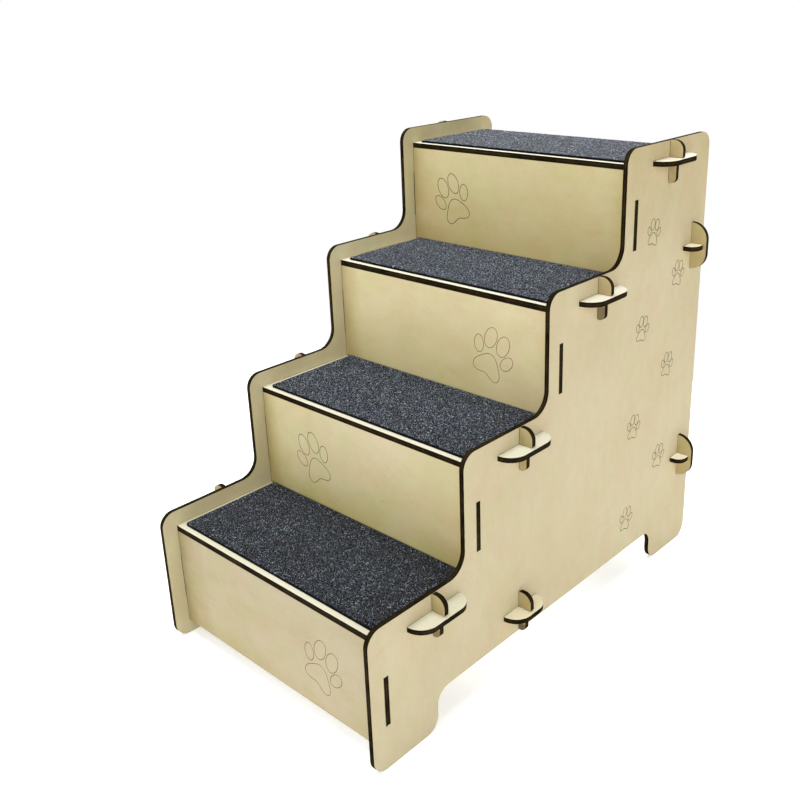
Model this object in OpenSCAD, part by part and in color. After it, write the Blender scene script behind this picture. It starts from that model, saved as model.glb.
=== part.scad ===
// Four-step stairs for a pet, cut from flat plywood sheet and held together by removable keys.
// Each tread and brace ends in a rounded tongue that passes through the side panel.
// A key dropped through the tongue draws the panel tight against the tread's shoulder.
// The origin is on the floor, midway between the side panels and midway from front to back.
// +X runs to the right of someone facing the steps, +Y to the back, +Z up.

/* [Sheet and fits] */
// Thickness of the plywood sheet
sheet_t = 6; // [4:0.5:8]
// Gap left by the cutter on each side of a tongue in its slot
slot_gap = 0.2; // [0.05:0.05:0.4]
// Gap on each side of a key in its mortise
key_gap = 0.1; // [0.05:0.05:0.2]
// Distance that a mortise reaches back past the panel's outer face
key_draw = 0.6; // [0.3:0.1:1.5]

/* [Steps] */
// Clear width between the two side panels
clear_w = 347; // [280:1:420]
// Height from one tread to the next
rise = 135; // [120:1:160]
// Distance from the front of one tread to the front of the next
run = 146; // [130:1:180]
// Height of the first tread's top above the floor
first_tread_h = 153.5; // [140:0.5:180]

/* [Side panels] */
// Distance of each tread's front behind the panel's front edge
tread_setback = 19.5; // [14:0.5:26]
// Height of the panel's edge above each tread
side_lip = 20; // [15:0.5:26]
// Distance of the top tread's back in front of the panel's back edge
rear_lip = 20.5; // [15:0.5:28]
// Radius of the panel's outer corners at the steps and the top
step_corner_r = 18; // [10:1:24]
// Radius in the panel's inner corners between two steps
step_fillet_r = 25; // [12:1:32]
// Length of each foot at the floor
foot_len = 97.5; // [80:0.5:120]
// Height of the arch between the feet
arch_h = 47.5; // [40:0.5:49]
// Radius of the feet's lower corners
foot_corner_r = 19; // [8:1:21]
// Radius in the arch's upper corners
arch_fillet_r = 17; // [8:1:22]

/* [Tongues] */
// Length of a tread's tongue along the panel
tread_tongue_len = 80; // [60:1:90]
// Length of a brace's tongue along the panel
brace_tongue_len = 60; // [56:1:70]
// Length of a riser's flush tab
riser_tab_len = 59; // [40:1:75]
// Distance that a tongue stands out past the panel
tongue_reach = 21.5; // [19:0.5:26]
// Radius of a tongue's outer corners
tongue_corner_r = 21; // [10:0.5:26]

/* [Keys] */
// Width of the key's head, measured out from the panel
key_head_w = 17.5; // [15:0.5:18.5]
// Height of the key's head above the tongue
key_head_h = 20.5; // [16:0.5:24]
// Width of the key's tail, measured out from the panel
key_tail_w = 10; // [8:0.5:12]
// Length of the key's tail from its shoulder to its end
key_tail_len = 31; // [22:0.5:31.5]
// Radius of the head's outer top corner
key_head_r = 12; // [6:0.5:15]
// Radius of the tail's outer end corner
key_tail_r = 7; // [3:0.5:7.5]
// Radius of the key's small corners
key_nose_r = 2; // [1:0.5:2.5]

/* [Braces] */
// Width of the base brace from front to back
base_brace_w = 100; // [80:1:130]
// Height of the base brace's top above the floor
base_brace_top = 80.5; // [80.5:0.5:90]
// Height of each rear brace
rear_brace_h = 100; // [80:1:120]
// Distance of the rear braces' back in front of the panel's back edge
rear_brace_inset = 26; // [26:0.5:36]
// Height of the upper rear brace's middle as a share of the panel's height
upper_brace_share = 0.755; // [0.65:0.005:0.76]
// Height of the lower rear brace's middle as a share of the panel's height
lower_brace_share = 0.239; // [0.2:0.005:0.35]

/* [Carpet pads] */
// Thickness of a pad
pad_t = 3; // [2:0.5:6]
// Bare strip of tread in front of a pad
pad_front_strip = 7.5; // [4:0.5:15]
// Bare strip of tread at each side of a pad
pad_side_strip = 9.5; // [4:0.5:15]
// Gap between a pad and the riser behind it
pad_rear_gap = 0.5; // [0.3:0.1:3]
// Radius of a pad's corners
pad_corner_r = 8; // [3:1:15]

/* [Hidden] */
$fn = 64;

// Number of steps, counted in the node names
steps = 4;
// The step under which the base brace lies, counted from the floor
brace_step = 2;
// Overrun of every cut past the face that it goes through
overrun = sheet_t / 12;

// A tread reaches from its own riser's front to the next riser's back.
tread_d = run + sheet_t;
// A riser fills the height between two treads.
riser_h = rise - sheet_t;
// Distance of a panel's inner and outer face from the middle
panel_in = clear_w / 2;
panel_out = panel_in + sheet_t;
// Depth of the side panel and the place of its front edge
panel_d = (steps - 1) * run + tread_setback + tread_d + rear_lip;
panel_front = -panel_d / 2;
panel_rear = panel_d / 2;
panel_h = tread_top(steps) + side_lip;
// Place of the rear braces' back face, and the heights of their middles
brace_back = panel_rear - rear_brace_inset;
lower_brace_z = lower_brace_share * panel_h;
upper_brace_z = upper_brace_share * panel_h;
base_brace_y = tread_front(brace_step) + tread_d / 2;

// Heights and places of step i, counted from 1 at the floor
function tread_top(i) = first_tread_h + (i - 1) * rise;
function tread_front(i) = panel_front + tread_setback + (i - 1) * run;
function tread_mid(i) = tread_front(i) + tread_d / 2;
function riser_mid(i) = tread_top(i) - sheet_t - riser_h / 2;

// The sliver between a square corner at the origin and the arc that rounds it.
// Taken away it rounds an outer corner, and added it fills an inner one.
module corner_sliver(r) {
    difference() {
        translate([-overrun, -overrun]) square(r + overrun);
        translate([r, r]) circle(r = r);
    }
}

// The same sliver for a corner that opens towards dx, dy, each 1 or -1
module sliver_at(x, y, dx, dy, r) {
    translate([x, y]) scale([dx, dy]) corner_sliver(r);
}

// A rectangle of w by d about the origin, its four corners rounded
module rounded_plate(w, d, r) {
    difference() {
        square([w, d], center = true);
        for (sx = [-1, 1], sy = [-1, 1]) {
            sliver_at(sx * w / 2, sy * d / 2, -sx, -sy, r);
        }
    }
}

// Upright sheet across the stairs: the outline's x is X and its y is Z.
// The sheet's front face is at y.
module upright_sheet(y) {
    translate([0, y + sheet_t, 0]) rotate([90, 0, 0]) linear_extrude(sheet_t) children();
}

// Slot in a side panel for a tongue, len along the panel and centred at y, z
module slot(y, z, len, level = true) {
    l = len + 2 * slot_gap;
    w = sheet_t + 2 * slot_gap;
    translate([y, z]) square(level ? [l, w] : [w, l], center = true);
}

// Outline of a side panel before its slots, x being Y and y being Z
module panel_outline() {
    difference() {
        union() {
            for (i = [1:steps]) {
                translate([panel_front + (i - 1) * run, 0])
                    square([panel_d - (i - 1) * run, tread_top(i) + side_lip]);
            }
            for (i = [1:steps - 1]) {
                sliver_at(panel_front + i * run, tread_top(i) + side_lip, -1, 1, step_fillet_r);
            }
        }
        for (i = [1:steps]) {
            sliver_at(panel_front + (i - 1) * run, tread_top(i) + side_lip, 1, -1, step_corner_r);
        }
        sliver_at(panel_rear, panel_h, -1, -1, step_corner_r);
        panel_arch();
        sliver_at(panel_front, 0, 1, 1, foot_corner_r);
        sliver_at(panel_rear, 0, -1, 1, foot_corner_r);
        sliver_at(panel_front + foot_len, 0, -1, 1, foot_corner_r);
        sliver_at(panel_rear - foot_len, 0, 1, 1, foot_corner_r);
    }
}

// Opening between the two feet, its upper corners rounded
module panel_arch() {
    difference() {
        translate([panel_front + foot_len, -overrun]) square([panel_d - 2 * foot_len, arch_h + overrun]);
        sliver_at(panel_front + foot_len, arch_h, 1, -1, arch_fillet_r);
        sliver_at(panel_rear - foot_len, arch_h, -1, -1, arch_fillet_r);
    }
}

// Outline of a side panel with the slots for every tongue and tab
module panel_profile() {
    difference() {
        panel_outline();
        for (i = [1:steps]) {
            slot(tread_mid(i), tread_top(i) - sheet_t / 2, tread_tongue_len);
            slot(tread_front(i) + sheet_t / 2, riser_mid(i), riser_tab_len, level = false);
        }
        slot(base_brace_y, base_brace_top - sheet_t / 2, brace_tongue_len);
        for (z = [lower_brace_z, upper_brace_z]) {
            slot(brace_back - sheet_t / 2, z, brace_tongue_len, level = false);
        }
    }
}

// Side panel on the right (side 1) or the left (side -1)
module side_panel(side) {
    color([0.84, 0.79, 0.65])
        translate([side > 0 ? panel_in : -panel_out, 0, 0])
            rotate([90, 0, 90]) linear_extrude(sheet_t) panel_profile();
}

// Outline of a board of length d across its ends, with a keyed tongue at each end
module keyed_board(d, tongue_len) {
    difference() {
        union() {
            square([clear_w, d], center = true);
            keyed_tongues(tongue_len);
        }
        for (side = [-1, 1]) {
            translate([side * (panel_out - key_draw), 0]) scale([side, 1]) key_mortise();
        }
    }
}

// The two rounded tongues of a board, joined by the strip between them
module keyed_tongues(tongue_len) {
    rounded_plate(2 * (panel_out + tongue_reach), tongue_len, min(tongue_corner_r, tongue_reach));
}

// Hole for a key's tail, starting at the origin and reaching out along x
module key_mortise() {
    translate([0, -sheet_t / 2 - key_gap])
        square([key_draw + key_tail_w + 2 * key_gap, sheet_t + 2 * key_gap]);
}

// Tread of step i
module tread(i) {
    color([0.93, 0.90, 0.80])
        translate([0, tread_mid(i), tread_top(i) - sheet_t])
            linear_extrude(sheet_t) keyed_board(tread_d, tread_tongue_len);
}

// Riser under the front of tread i, with tabs that end flush in the panels
module riser(i) {
    color([0.81, 0.76, 0.59])
        upright_sheet(tread_front(i))
            translate([0, riser_mid(i)]) {
                square([clear_w, riser_h], center = true);
                square([2 * panel_out, riser_tab_len], center = true);
            }
}

// Carpet pad that lies on tread i
module carpet(i) {
    pad_w = clear_w - 2 * pad_side_strip;
    pad_d = run - pad_front_strip - pad_rear_gap;
    color([0.27, 0.29, 0.35])
        translate([0, tread_front(i) + pad_front_strip + pad_d / 2, tread_top(i)])
            linear_extrude(pad_t) rounded_plate(pad_w, pad_d, pad_corner_r);
}

// Level brace that ties the panels together near the floor
module base_brace() {
    color([0.84, 0.79, 0.65])
        translate([0, base_brace_y, base_brace_top - sheet_t])
            linear_extrude(sheet_t) keyed_board(base_brace_w, brace_tongue_len);
}

// Upright brace at the back, its middle at height z
module rear_brace(z) {
    color([0.84, 0.79, 0.65])
        upright_sheet(brace_back - sheet_t)
            translate([0, z]) keyed_board(rear_brace_h, brace_tongue_len);
}

// Outline of a key: x out from the panel, y up from the shoulder that seats on the tongue
module key_profile() {
    difference() {
        union() {
            square([key_head_w, key_head_h]);
            translate([0, -key_tail_len]) square([key_tail_w, key_tail_len + overrun]);
        }
        sliver_at(key_head_w, key_head_h, -1, -1, key_head_r);
        sliver_at(key_head_w, 0, -1, 1, key_nose_r);
        sliver_at(0, key_head_h, 1, -1, key_nose_r);
        sliver_at(key_tail_w, -key_tail_len, -1, 1, key_tail_r);
        sliver_at(0, -key_tail_len, 1, 1, key_nose_r);
    }
}

// Key at the origin: its face towards the panel at x 0, its shoulder at z 0, its sheet centred on y
module key_blank() {
    color([0.80, 0.73, 0.56])
        translate([0, sheet_t / 2, 0]) rotate([90, 0, 0]) linear_extrude(sheet_t) key_profile();
}

// Key that drops through a level tongue on the right (side 1) or the left (side -1)
module drop_key(side, y, tongue_top) {
    translate([side * (panel_out + key_gap), y, tongue_top]) scale([side, 1, 1]) key_blank();
}

// Key that goes from the front through the upright tongue of a rear brace
module rear_key(side, z) {
    translate([side * (panel_out + key_gap), brace_back - sheet_t, z])
        scale([side, 1, 1]) rotate([90, 0, 0]) key_blank();
}

side_panel(-1);  // left_side_panel
side_panel(1);  // right_side_panel
tread(1);  // tread_1
tread(2);  // tread_2
tread(3);  // tread_3
tread(4);  // tread_4
riser(1);  // riser_1
riser(2);  // riser_2
riser(3);  // riser_3
riser(4);  // riser_4
carpet(1);  // carpet_1
carpet(2);  // carpet_2
carpet(3);  // carpet_3
carpet(4);  // carpet_4
base_brace();
rear_brace(lower_brace_z);  // rear_brace_lower
rear_brace(upper_brace_z);  // rear_brace_upper
drop_key(-1, tread_mid(1), tread_top(1));  // tread_key_left_1
drop_key(-1, tread_mid(2), tread_top(2));  // tread_key_left_2
drop_key(-1, tread_mid(3), tread_top(3));  // tread_key_left_3
drop_key(-1, tread_mid(4), tread_top(4));  // tread_key_left_4
drop_key(1, tread_mid(1), tread_top(1));  // tread_key_right_1
drop_key(1, tread_mid(2), tread_top(2));  // tread_key_right_2
drop_key(1, tread_mid(3), tread_top(3));  // tread_key_right_3
drop_key(1, tread_mid(4), tread_top(4));  // tread_key_right_4
drop_key(-1, base_brace_y, base_brace_top);  // base_key_left
drop_key(1, base_brace_y, base_brace_top);  // base_key_right
rear_key(-1, lower_brace_z);  // rear_key_lower_left
rear_key(1, lower_brace_z);  // rear_key_lower_right
rear_key(-1, upper_brace_z);  // rear_key_upper_left
rear_key(1, upper_brace_z);  // rear_key_upper_right
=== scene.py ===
"""Four-step plywood pet stairs with carpeted treads, dressed for a studio picture.

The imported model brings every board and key. This script gives the boards their
laser-cut plywood finish, scorches the paw outlines into them, lays the carpet
pads on the treads and sets up the studio.
"""

from __future__ import annotations

import logging
import math
from dataclasses import dataclass, field
from enum import IntEnum
from functools import cached_property
from typing import NamedTuple

import bpy  # noqa: E402
from mathutils import Matrix, Vector, noise  # noqa: E402


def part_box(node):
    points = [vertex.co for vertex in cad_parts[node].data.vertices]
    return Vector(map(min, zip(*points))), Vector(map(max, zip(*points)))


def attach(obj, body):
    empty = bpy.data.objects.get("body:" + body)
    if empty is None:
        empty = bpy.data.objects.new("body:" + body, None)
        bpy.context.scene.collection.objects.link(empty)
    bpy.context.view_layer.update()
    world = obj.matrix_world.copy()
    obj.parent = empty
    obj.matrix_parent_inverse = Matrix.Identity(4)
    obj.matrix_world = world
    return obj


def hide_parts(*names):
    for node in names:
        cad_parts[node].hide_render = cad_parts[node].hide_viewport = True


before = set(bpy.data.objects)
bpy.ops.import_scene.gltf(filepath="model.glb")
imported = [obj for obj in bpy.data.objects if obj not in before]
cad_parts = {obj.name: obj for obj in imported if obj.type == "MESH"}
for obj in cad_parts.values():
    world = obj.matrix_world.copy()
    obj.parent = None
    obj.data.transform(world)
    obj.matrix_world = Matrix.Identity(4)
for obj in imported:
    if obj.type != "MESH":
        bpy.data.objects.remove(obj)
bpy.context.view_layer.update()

LOG = logging.getLogger("pet_stairs")
BODY = "frame"
STEPS = (1, 2, 3, 4)
LEVEL_BRACE = "base_brace"
UPRIGHT_BRACES = ("rear_brace_lower", "rear_brace_upper")
TUFT_SHADE = "tuft_shade"
MM = 0.001

Colour = tuple[float, float, float, float]
Stops = tuple[tuple[float, Colour], ...]
Socket = bpy.types.NodeSocket
Feeds = dict[int | str, object]

BLACK: Colour = (0.0, 0.0, 0.0, 1.0)
WHITE: Colour = (1.0, 1.0, 1.0, 1.0)
# A surface faces a direction when more than this part of its normal runs along it.
FACING = 0.5


class Axis(IntEnum):
    """The three directions of the stairs: across, front to back, and up."""

    ACROSS = 0
    DEPTH = 1
    UP = 2


class Side(IntEnum):
    """The two sides of the stairs, seen from the front."""

    LEFT = -1
    RIGHT = 1

    @property
    def word(self) -> str:
        """The side as the pieces' names have it."""
        return self.name.lower()


def paint(red: int, green: int, blue: int) -> Colour:
    """Turns a paint-chart colour into the linear colour that shaders take.

    Args:
        red: Red, from 0 to 255.
        green: Green, from 0 to 255.
        blue: Blue, from 0 to 255.

    Returns:
        The linear colour with full opacity.
    """
    linear = []
    for part in (red, green, blue):
        share = part / 255
        # The standard screen curve: a straight line near black, and a power above it.
        low = share / 12.92
        high = ((share + 0.055) / 1.055) ** 2.4
        linear.append(low if share <= 0.04045 else high)
    return (*linear, 1.0)


def span(node: str, axis: Axis) -> tuple[float, float]:
    """Measures a board along one direction.

    Args:
        node: The board's name.
        axis: The direction.

    Returns:
        Its middle and half its length.
    """
    low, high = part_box(node)
    return (low[axis] + high[axis]) / 2, (high[axis] - low[axis]) / 2


def placed(name: str, data: bpy.types.ID) -> bpy.types.Object:
    """Makes an object and puts it in the scene.

    Args:
        name: The object's name.
        data: Its mesh, lamp or camera.

    Returns:
        The new object.
    """
    made = bpy.data.objects.new(name, data)
    bpy.context.scene.collection.objects.link(made)
    return made


class NodeBench:
    """Lays out and wires the nodes of one tree."""

    # How far each node lies from the one before it in the editor.
    step: tuple[int, int] = (40, -25)

    def __init__(self, tree: bpy.types.NodeTree) -> None:
        """Takes the tree that the nodes go into."""
        self.tree = tree

    def node(self, kind: str, feeds: Feeds | None = None, **settings: object) -> bpy.types.Node:
        """Adds a node, sets its properties and feeds its inputs.

        Args:
            kind: The node's type name.
            feeds: A socket or a plain value for each input, by its number or name.
            **settings: Properties of the node, such as its operation.

        Returns:
            The new node.
        """
        made = self.tree.nodes.new(kind)
        for key, value in settings.items():
            setattr(made, key, value)
        for key, value in (feeds or {}).items():
            self.wire(value, made.inputs[key])
        made.location = [len(self.tree.nodes) * way for way in self.step]
        return made

    def wire(self, source: object, target: Socket) -> None:
        """Joins an output to an input, or sets the input to a plain value.

        Args:
            source: The output, or the value.
            target: The input.
        """
        if isinstance(source, Socket):
            self.tree.links.new(source, target)
        else:
            target.default_value = source

    def math(self, operation: str, *values: object) -> Socket:
        """Adds a Math node.

        Args:
            operation: The sum to do, such as MULTIPLY.
            *values: Numbers or sockets that feed it, in order.

        Returns:
            The result's socket.
        """
        return self.node("ShaderNodeMath", dict(enumerate(values)), operation=operation).outputs[0]

    def gap(self, value: Socket, place: float) -> Socket:
        """How far a value is from a place, on either side of it."""
        return self.math("ABSOLUTE", self.math("SUBTRACT", value, place))

    def parts(self, vector: Socket) -> bpy.types.NodeOutputs:
        """The three parts of a vector, one for each axis."""
        return self.node("ShaderNodeSeparateXYZ", {0: vector}).outputs

    def blend(self, share: object, first: object, second: object, mode: str = "MIX") -> Socket:
        """Blends two colours.

        Args:
            share: How much of the second colour counts, a number or its socket.
            first: A colour or its socket.
            second: A colour or its socket.
            mode: The way they blend.

        Returns:
            The blended colour.
        """
        # The Mix node takes its colours at inputs 6 and 7 and gives one at output 2.
        feeds = {0: share, 6: first, 7: second}
        return self.node("ShaderNodeMix", feeds, data_type="RGBA", blend_type=mode).outputs[2]


class ShaderBench(NodeBench):
    """The nodes of one material, round a Principled shader."""

    def __init__(self, name: str) -> None:
        """Starts a material with a bare Principled shader.

        Args:
            name: The material's name.
        """
        self.material = bpy.data.materials.new(name)
        self.material.use_nodes = True
        super().__init__(self.material.node_tree)
        self.tree.nodes.clear()
        self.shader = self.node("ShaderNodeBsdfPrincipled")
        self.node("ShaderNodeOutputMaterial", {0: self.shader.outputs[0]})

    @cached_property
    def coordinates(self) -> bpy.types.NodeOutputs:
        """The coordinates that the patterns can follow."""
        return self.node("ShaderNodeTexCoord").outputs

    @cached_property
    def spot(self) -> bpy.types.NodeOutputs:
        """The place on the object, one part for each axis."""
        return self.parts(self.coordinates["Object"])

    def surface(self, colour: object, roughness: object, specular: float) -> None:
        """Sets the shader's colour and gloss.

        Args:
            colour: The base colour or its socket.
            roughness: The roughness or its socket.
            specular: How strongly it reflects.
        """
        feeds = {"Base Color": colour, "Roughness": roughness, "Specular IOR Level": specular}
        for name, value in feeds.items():
            self.wire(value, self.shader.inputs[name])

    def bump(self, height: Socket, depth: float, strength: float) -> None:
        """Roughens the surface by a height pattern.

        Args:
            height: The pattern.
            depth: How deep it cuts, in metres.
            strength: How much of it counts.
        """
        made = self.node("ShaderNodeBump", {"Height": height, "Distance": depth, "Strength": strength})
        self.wire(made.outputs[0], self.shader.inputs["Normal"])

    def noise(
        self,
        scale: float,
        detail: float = 2.0,
        roughness: float = 0.5,
        stretch: Vector | None = None,
        shift: Vector | tuple[float, float, float] = (0.0, 0.0, 0.0),
    ) -> Socket:
        """Adds a noise pattern that follows the object.

        Args:
            scale: Its fineness, in patches per metre.
            detail: How many finer layers it has.
            roughness: How strong the finer layers are.
            stretch: How many times finer it is along each direction.
            shift: Where a stretched pattern starts.

        Returns:
            The pattern's value, from 0 to 1.
        """
        place = self.coordinates["Object"]
        if stretch is not None:
            feeds = {"Vector": place, "Location": shift, "Scale": stretch}
            place = self.node("ShaderNodeMapping", feeds).outputs[0]
        feeds = {"Vector": place, "Scale": scale, "Detail": detail, "Roughness": roughness}
        return self.node("ShaderNodeTexNoise", feeds).outputs[0]

    def band(self, source: Socket, low: float, high: float, start: float = 0.0, end: float = 1.0) -> Socket:
        """Maps a stretch of values onto another one, and holds its ends.

        Args:
            source: The value to map.
            low: The value that becomes start.
            high: The value that becomes end.
            start: The result at and before low.
            end: The result at and past high.

        Returns:
            The mapped value.
        """
        feeds = dict(enumerate((source, low, high, start, end)))
        return self.node("ShaderNodeMapRange", feeds, clamp=True).outputs[0]

    def ramp(self, source: Socket, stops: Stops) -> Socket:
        """Colours a value by a row of stops.

        Args:
            source: The value, from 0 to 1.
            stops: Each stop's place and colour, in order.

        Returns:
            The colour.
        """
        made = self.node("ShaderNodeValToRGB", {0: source})
        bar = made.color_ramp.elements
        bar.remove(bar[-1])
        bar[0].position, bar[0].color = stops[0]
        for place, colour in stops[1:]:
            bar.new(place).color = colour
        return made.outputs[0]

    def glazed(self, tone: Socket, share: float, source: Socket, stops: Stops) -> Socket:
        """Tints a colour by a row of stops.

        Args:
            tone: The colour.
            share: How much of the tint counts.
            source: The value that the stops follow.
            stops: Each stop's place and tint, in order.

        Returns:
            The tinted colour.
        """
        return self.blend(share, tone, self.ramp(source, stops), "MULTIPLY")


class Pattern(NamedTuple):
    """A noise pattern: its patches per metre, its finer layers and how strong they are."""

    scale: float
    detail: float = 2.0
    roughness: float = 0.5


@dataclass(frozen=True)
class Figure:
    """A noise pattern in the wood, and the share of colour that it brings.

    It has so many patches per metre along its own direction and across it. Its
    share of colour grows from nothing at low to the full share at high.
    """

    along: float
    across: float
    detail: float
    roughness: float
    low: float = 0.0
    high: float = 1.0
    share: float = 1.0

    def laid(self, bench: ShaderBench, way: Axis, shift: Vector) -> Socket:
        """Lays the pattern over a board.

        Args:
            bench: The board's material.
            way: The direction that the pattern runs.
            shift: Where it starts.

        Returns:
            The bare pattern, from 0 to 1.
        """
        stretch = Vector([self.along if axis is way else self.across for axis in Axis])
        return bench.noise(1.0, self.detail, self.roughness, stretch, shift)

    def strength(self, bench: ShaderBench, pattern: Socket) -> Socket:
        """The share of colour that the bare pattern brings."""
        return bench.band(pattern, self.low, self.high, 0.0, self.share)


@dataclass(frozen=True)
class Veneer:
    """The colours of one batch of face veneer."""

    pale: Colour = paint(194, 182, 152)
    warm: Colour = paint(189, 175, 143)
    figure: Colour = paint(169, 151, 114)

    def toned(self, share: float, coolness: float) -> Veneer:
        """Makes a lighter or darker, cooler or more golden copy of the veneer, which paints the light that
        falls differently on each board.

        Args:
            share: How much light it gives back, against this one.
            coolness: How much more blue there is in that light.

        Returns:
            The other sheet's colours.
        """
        pale, warm, figure = (
            (shade[0] * share, shade[1] * share, shade[2] * share * coolness, 1.0)
            for shade in (self.pale, self.warm, self.figure)
        )
        return Veneer(pale, warm, figure)


@dataclass(frozen=True)
class SmokeAndShadeBand:
    """A narrow band of char colour along one straight line of a board's face. Most bands are the laser's
    smoke; some are painted shade.

    Its whole strength lasts for the full share of its reach, and then it fades.
    """

    axis: Axis
    place: float
    reach: float
    strength: float = 1.0
    full: float = field(default=0.7, init=False)

    def near(self, bench: ShaderBench) -> Socket:
        """The strength of the smoke all over the board."""
        gap = bench.gap(bench.spot[self.axis], self.place)
        return bench.band(gap, self.full * self.reach, self.reach, self.strength, 0.0)


@dataclass(frozen=True)
class SoftDarkening(SmokeAndShadeBand):
    """A soft, patchy darkening of a board's face, strongest along one straight line; most are painted shade.
    """

    tint: Colour = paint(246, 230, 181)
    full: float = field(default=0.0, init=False)


@dataclass(frozen=True)
class SlotSinge:
    """The scorched rim that the laser leaves round a slot in a board's face.

    Each side is a direction, with the slot's middle and half its length there.
    """

    sides: tuple[tuple[Axis, float, float], ...]
    reach: float
    full: float = field(default=0.6, init=False)

    def near(self, bench: ShaderBench) -> Socket:
        """The strength of the smoke all over the board.

        Args:
            bench: The board's material.

        Returns:
            Its socket, 1 inside the rim and 0 past its reach.
        """
        gaps = [
            bench.math("SUBTRACT", bench.gap(bench.spot[axis], middle), half)
            for axis, middle, half in self.sides
        ]
        return bench.band(bench.math("MAXIMUM", *gaps), self.full * self.reach, self.reach, 1.0, 0.0)


@dataclass(frozen=True)
class PlywoodFinish:
    """Pale sanded veneer on a board's two faces, and char where the laser cut it.

    The sheet is the direction through the board, and the grain is the one that its
    face veneer runs. Each board has a number of its own, so no two share a pattern.
    """

    node: str
    sheet: Axis
    grain: Axis
    number: int
    veneer: Veneer = Veneer()
    # Char bands: smoke along cut lines and round slots, and painted shade where a band stands for a shadow.
    smokes_and_shades: tuple[SmokeAndShadeBand | SlotSinge, ...] = ()
    # Soft, patchy darkenings of the face; most are painted shade in corners, towards the foot and near the
    # top.
    soft_darkenings: tuple[SoftDarkening, ...] = ()
    char: Colour = paint(11, 7, 2)
    ember: Colour = paint(74, 60, 36)
    plies: Stops = (
        (0.0, paint(46, 37, 18)),
        (0.28, paint(40, 31, 14)),
        (0.34, paint(12, 8, 3)),
        (0.40, paint(30, 22, 9)),
        (0.86, paint(26, 19, 8)),
        (1.0, paint(58, 44, 24)),
    )
    casts: Stops = ((0.34, paint(255, 251, 250)), (0.5, paint(254, 254, 252)), (0.66, paint(251, 255, 247)))
    fuzzes: Stops = ((0.3, paint(120, 110, 90)), (0.7, paint(255, 252, 240)))
    fuzz_share: float = 0.05
    cloud: Figure = Figure(7.0, 13.0, 3.0, 0.55, 0.36, 0.66)
    mottle: Figure = Figure(42.0, 64.0, 4.0, 0.62, 0.44, 0.76, 0.2)
    ray: Figure = Figure(170.0, 520.0, 2.0, 0.55, 0.6, 0.76)
    patch: Figure = Figure(16.0, 22.0, 1.0, 0.5, 0.45, 0.62, 0.4)
    fibre: Figure = Figure(6.0, 300.0, 4.0, 0.6, 0.5, 0.8, 0.05)
    fuzz: Figure = Figure(700.0, 1400.0, 2.0, 0.6)
    cast: Figure = Figure(24.0, 30.0, 2.0, 0.5)
    score: Figure = Figure(60.0, 1300.0, 2.0, 0.6, 0.5, 0.75, 0.55)
    ash: Figure = Figure(40.0, 40.0, 3.0, 0.6, 0.42, 0.66, 0.8)
    darkening_patches: tuple[float, float, float, float] = (0.3, 0.6, 0.6, 1.2)
    board_shift: float = 3.7
    shift_shares: tuple[float, float, float] = (1.0, 1.7, 2.3)
    cast_shift: float = 1.3
    edge_roughness: float = 0.78
    face_roughness: float = 0.5
    roughness_scale: float = 60.0
    roughness_spread: float = 0.12
    specular: float = 0.03
    fibre_height: float = 0.5
    mottle_height: float = -0.3
    relief: float = 0.12 * MM
    relief_strength: float = 0.5

    def dress(self) -> None:
        """Builds the finish and gives it to the board."""
        bench = ShaderBench(f"plywood_{self.node}")
        veneer, veneer_height = self._veneer(bench)
        burnt, burnt_height = self._burnt(bench)
        # The board's two faces are 1 and its cut edges 0.
        normal = bench.parts(bench.coordinates["Normal"])[self.sheet]
        face = bench.math("GREATER_THAN", bench.math("ABSOLUTE", normal), FACING)
        smooth = bench.band(face, 0.0, 1.0, self.edge_roughness, self.face_roughness)
        spread = bench.math("MULTIPLY", bench.noise(self.roughness_scale), self.roughness_spread)
        bench.surface(bench.blend(face, burnt, veneer), bench.math("ADD", smooth, spread), self.specular)
        height = bench.node("ShaderNodeMix", {0: face, 2: burnt_height, 3: veneer_height}, data_type="FLOAT")
        bench.bump(height.outputs[0], self.relief, self.relief_strength)
        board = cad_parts[self.node]
        if not board.material_slots:
            board.data.materials.append(bench.material)
        for place in board.material_slots:
            place.material = bench.material

    def _veneer(self, bench: ShaderBench) -> tuple[Socket, Socket]:
        """Colours the sanded face veneer.

        Args:
            bench: The board's material.

        Returns:
            The veneer's colour and its height pattern.
        """
        start = self.board_shift * self.number
        shift = Vector([start * share for share in self.shift_shares])
        cloud, mottle, ray, patch, fibre, fuzz = (
            figure.laid(bench, self.grain, shift)
            for figure in (self.cloud, self.mottle, self.ray, self.patch, self.fibre, self.fuzz)
        )
        tone = bench.blend(self.cloud.strength(bench, cloud), self.veneer.pale, self.veneer.warm)
        rays = bench.math("MULTIPLY", self.ray.strength(bench, ray), self.patch.strength(bench, patch))
        for share in (self.mottle.strength(bench, mottle), rays, self.fibre.strength(bench, fibre)):
            tone = bench.blend(share, tone, self.veneer.figure)
        tone = bench.glazed(tone, 1.0, self.cast.laid(bench, self.grain, shift * self.cast_shift), self.casts)
        # Painted shade: each darkening multiplies the veneer by its tint, in patches.
        for soft_darkening in self.soft_darkenings:
            share = bench.math("MULTIPLY", soft_darkening.near(bench), bench.band(patch, *self.darkening_patches))
            tone = bench.blend(share, tone, soft_darkening.tint, "MULTIPLY")
        tone = bench.blend(self.fuzz_share, tone, bench.ramp(fuzz, self.fuzzes))
        tone = self._smoked_and_shaded(bench, tone)
        heights = (
            bench.math("MULTIPLY", fibre, self.fibre_height),
            bench.math("MULTIPLY", mottle, self.mottle_height),
        )
        return tone, bench.math("ADD", *heights)

    def _smoked_and_shaded(self, bench: ShaderBench, tone: Socket) -> Socket:
        """Stains the veneer with smoke along cut lines and round slots, and paints shade where a band stands
        for a shadow.

        Args:
            bench: The board's material.
            tone: The clean veneer's colour.

        Returns:
            The stained and shaded veneer's colour.
        """
        shares = [smoke.near(bench) for smoke in self.smokes_and_shades]
        if not shares:
            return tone
        strongest = shares[0]
        for share in shares[1:]:
            strongest = bench.math("MAXIMUM", strongest, share)
        return bench.blend(strongest, tone, self.char)

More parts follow.
